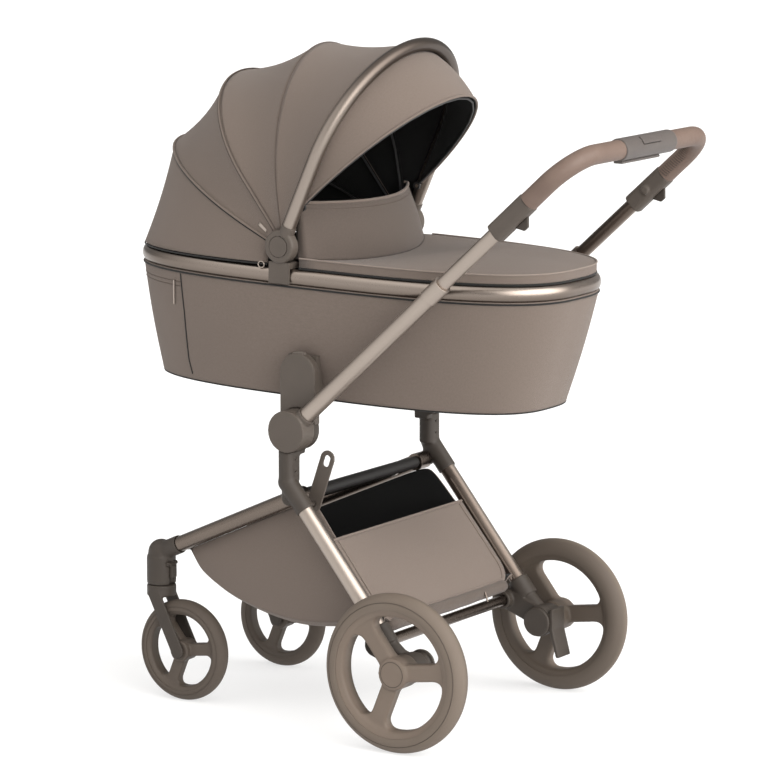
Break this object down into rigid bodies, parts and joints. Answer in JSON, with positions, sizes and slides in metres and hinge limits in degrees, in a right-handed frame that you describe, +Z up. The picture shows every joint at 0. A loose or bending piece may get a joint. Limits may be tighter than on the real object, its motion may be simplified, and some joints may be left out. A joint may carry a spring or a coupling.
{
  "type": "bassinet pram",
  "caption": "Folding pram chassis with swivelling front casters, spoked wheels and a telescopic handle, carrying a cloth cot with a folding ribbed hood.",
  "frame": {"origin": "on the ground under the middle of the outline", "axes": "+X to the rear, where the handle is, +Y to the pram's right, +Z up"},
  "size_m": [1.0314, 0.607, 1.2273],
  "materials": {
    "metal": "anodised satin, warm taupe",
    "moulding": "matt grained moulding",
    "tyre": "smooth matt foam",
    "rim": "matt moulding",
    "cloth": "fine melange weave",
    "grip": "grained, stitched",
    "dark_plastic": "matt",
    "wire": "drawn wire",
    "mattress": "plain weave"
  },
  "bodies": {
    "chassis": {"left_rear_leg": "metal", "right_rear_leg": "metal", "left_elbow": "moulding", "right_elbow": "moulding", "left_axle_housing": "moulding", "right_axle_housing": "moulding", "rear_cross_tube": "metal", "left_adapter": "moulding", "right_adapter": "moulding", "pivot_shaft": "metal", "carry_bar": "dark_plastic", "basket": "cloth"},
    "left_adapter_release": {"left_adapter_button": "dark_plastic"},
    "right_adapter_release": {"right_adapter_button": "dark_plastic"},
    "hook": {"fold_hook": "moulding"},
    "brake": {"brake_pedal": "moulding"},
    "handle": {"left_handle_hub": "moulding", "right_handle_hub": "moulding", "left_lower_tube": "metal", "right_lower_tube": "metal"},
    "handle_upper": {"handle_bar": "metal", "handle_sleeves": "moulding", "left_grip": "grip", "right_grip": "grip", "button_housing": "moulding"},
    "handle_press": {"handle_button": "dark_plastic"},
    "left_fin": {"left_trigger": "moulding"},
    "right_fin": {"right_trigger": "moulding"},
    "front_frame": {"left_front_tube": "metal", "right_front_tube": "metal", "front_cross_tube": "metal", "left_knuckle": "moulding", "right_knuckle": "moulding"},
    "left_caster": {"left_fork": "moulding"},
    "right_caster": {"right_fork": "moulding"},
    "left_swivel_lock": {"left_lock_lever": "moulding"},
    "right_swivel_lock": {"right_lock_lever": "moulding"},
    "left_front_wheel": {"left_front_rim": "rim", "left_front_tyre": "tyre"},
    "right_front_wheel": {"right_front_rim": "rim", "right_front_tyre": "tyre"},
    "left_rear_wheel": {"left_rear_rim": "rim", "left_rear_tyre": "tyre"},
    "right_rear_wheel": {"right_rear_rim": "rim", "right_rear_tyre": "tyre"},
    "cot": {"cot_rim": "metal", "cot_tub": "cloth", "mattress": "mattress", "cot_brackets": "moulding", "hood_mounts": "moulding", "apron": "cloth"},
    "hood_rib_1": {"rib_1": "wire", "hood_cover": "cloth"},
    "hood_rib_2": {"rib_2": "wire"},
    "hood_rib_3": {"rib_3": "wire"},
    "hood_bow": {"main_bow": "metal"},
    "visor_flap": {"visor_wire": "wire", "visor": "cloth"}
  },
  "joints": [
    {"name": "handle_fold", "type": "hinge", "parent": "chassis", "child": "handle", "pos_m": [-0.07695, 0, 0.543], "axis": [0, -1, 0], "range_deg": [0, 150]},
    {"name": "front_frame_fold", "type": "hinge", "parent": "chassis", "child": "front_frame", "pos_m": [-0.08695, 0, 0.418], "axis": [0, -1, 0], "range_deg": [0, 50], "deforming": ["basket"]},
    {"name": "handle_telescope", "type": "slide", "parent": "handle", "child": "handle_upper", "axis": [0.7408, 0, 0.6717], "range_m": [-0.1, 0.03]},
    {"name": "handle_press", "type": "slide", "parent": "handle_upper", "child": "handle_press", "axis": [-0.7408, 0, -0.6717], "range_m": [0, 0.002], "stiffness_N_per_m": 2000},
    {"name": "left_fin_pull", "type": "slide", "parent": "handle_upper", "child": "left_fin", "axis": [0.7408, 0, 0.6717], "range_m": [0, 0.008], "stiffness_N_per_m": 800},
    {"name": "right_fin_pull", "type": "slide", "parent": "handle_upper", "child": "right_fin", "axis": [0.7408, 0, 0.6717], "range_m": [0, 0.008], "stiffness_N_per_m": 800},
    {"name": "left_adapter_release", "type": "slide", "parent": "chassis", "child": "left_adapter_release", "axis": [0, 0, -1], "range_m": [0, 0.004], "stiffness_N_per_m": 1500},
    {"name": "right_adapter_release", "type": "slide", "parent": "chassis", "child": "right_adapter_release", "axis": [0, 0, -1], "range_m": [0, 0.004], "stiffness_N_per_m": 1500},
    {"name": "fold_hook_turn", "type": "hinge", "parent": "chassis", "child": "hook", "pos_m": [-0.05197, 0, 0.40751], "axis": [0, 1, 0], "range_deg": [0, 60]},
    {"name": "brake_press", "type": "hinge", "parent": "chassis", "child": "brake", "pos_m": [0.17105, 0, 0.1425], "axis": [0, 1, 0], "range_deg": [0, 18]},
    {"name": "left_caster_swivel", "type": "hinge", "parent": "front_frame", "child": "left_caster", "pos_m": [-0.41795, -0.162, 0.094], "axis": [0, 0, 1], "continuous": true},
    {"name": "left_front_wheel_spin", "type": "hinge", "parent": "left_caster", "child": "left_front_wheel", "pos_m": [-0.36695, -0.162, 0.094], "axis": [0, 1, 0], "continuous": true},
    {"name": "left_swivel_lock", "type": "hinge", "parent": "front_frame", "child": "left_swivel_lock", "pos_m": [-0.39495, -0.162, 0.253], "axis": [0, -1, 0], "range_deg": [0, 20]},
    {"name": "left_rear_wheel_spin", "type": "hinge", "parent": "chassis", "child": "left_rear_wheel", "pos_m": [0.17105, -0.2815, 0.1425], "axis": [0, 1, 0], "continuous": true},
    {"name": "right_caster_swivel", "type": "hinge", "parent": "front_frame", "child": "right_caster", "pos_m": [-0.41795, 0.162, 0.094], "axis": [0, 0, 1], "continuous": true},
    {"name": "right_front_wheel_spin", "type": "hinge", "parent": "right_caster", "child": "right_front_wheel", "pos_m": [-0.36695, 0.162, 0.094], "axis": [0, 1, 0], "continuous": true},
    {"name": "right_swivel_lock", "type": "hinge", "parent": "front_frame", "child": "right_swivel_lock", "pos_m": [-0.39495, 0.162, 0.253], "axis": [0, -1, 0], "range_deg": [0, 20]},
    {"name": "right_rear_wheel_spin", "type": "hinge", "parent": "chassis", "child": "right_rear_wheel", "pos_m": [0.17105, 0.2815, 0.1425], "axis": [0, 1, 0], "continuous": true},
    {"name": "cot_lift", "type": "slide", "parent": "chassis", "child": "cot", "axis": [0, 0, 1], "range_m": [0, 0.2]},
    {"name": "hood_fold", "type": "hinge", "parent": "cot", "child": "hood_rib_1", "pos_m": [-0.11589, 0, 0.86591], "axis": [0, -1, 0], "range_deg": [0, 24], "deforming": ["hood_cover"]},
    {"name": "hood_rib_2_fold", "type": "hinge", "parent": "hood_rib_1", "child": "hood_rib_2", "pos_m": [-0.11589, 0, 0.86591], "axis": [0, -1, 0], "range_deg": [0, 20.5]},
    {"name": "hood_rib_3_fold", "type": "hinge", "parent": "hood_rib_2", "child": "hood_rib_3", "pos_m": [-0.11589, 0, 0.86591], "axis": [0, -1, 0], "range_deg": [0, 23.5]},
    {"name": "hood_bow_fold", "type": "hinge", "parent": "hood_rib_3", "child": "hood_bow", "pos_m": [-0.11589, 0, 0.86591], "axis": [0, -1, 0], "range_deg": [0, 26]},
    {"name": "visor_flip", "type": "hinge", "parent": "hood_bow", "child": "visor_flap", "pos_m": [-0.08479, 0, 0.93526], "axis": [0, -1, 0], "range_deg": [0, 22], "deforming": ["visor"]}
  ],
  "couplings": [
    {"joint": "front_frame_fold", "follows": "handle_fold", "ratio": 0.33333},
    {"joint": "hood_rib_2_fold", "follows": "hood_fold", "ratio": 0.854},
    {"joint": "hood_rib_3_fold", "follows": "hood_fold", "ratio": 0.979},
    {"joint": "hood_bow_fold", "follows": "hood_fold", "ratio": 1.083}
  ]
}
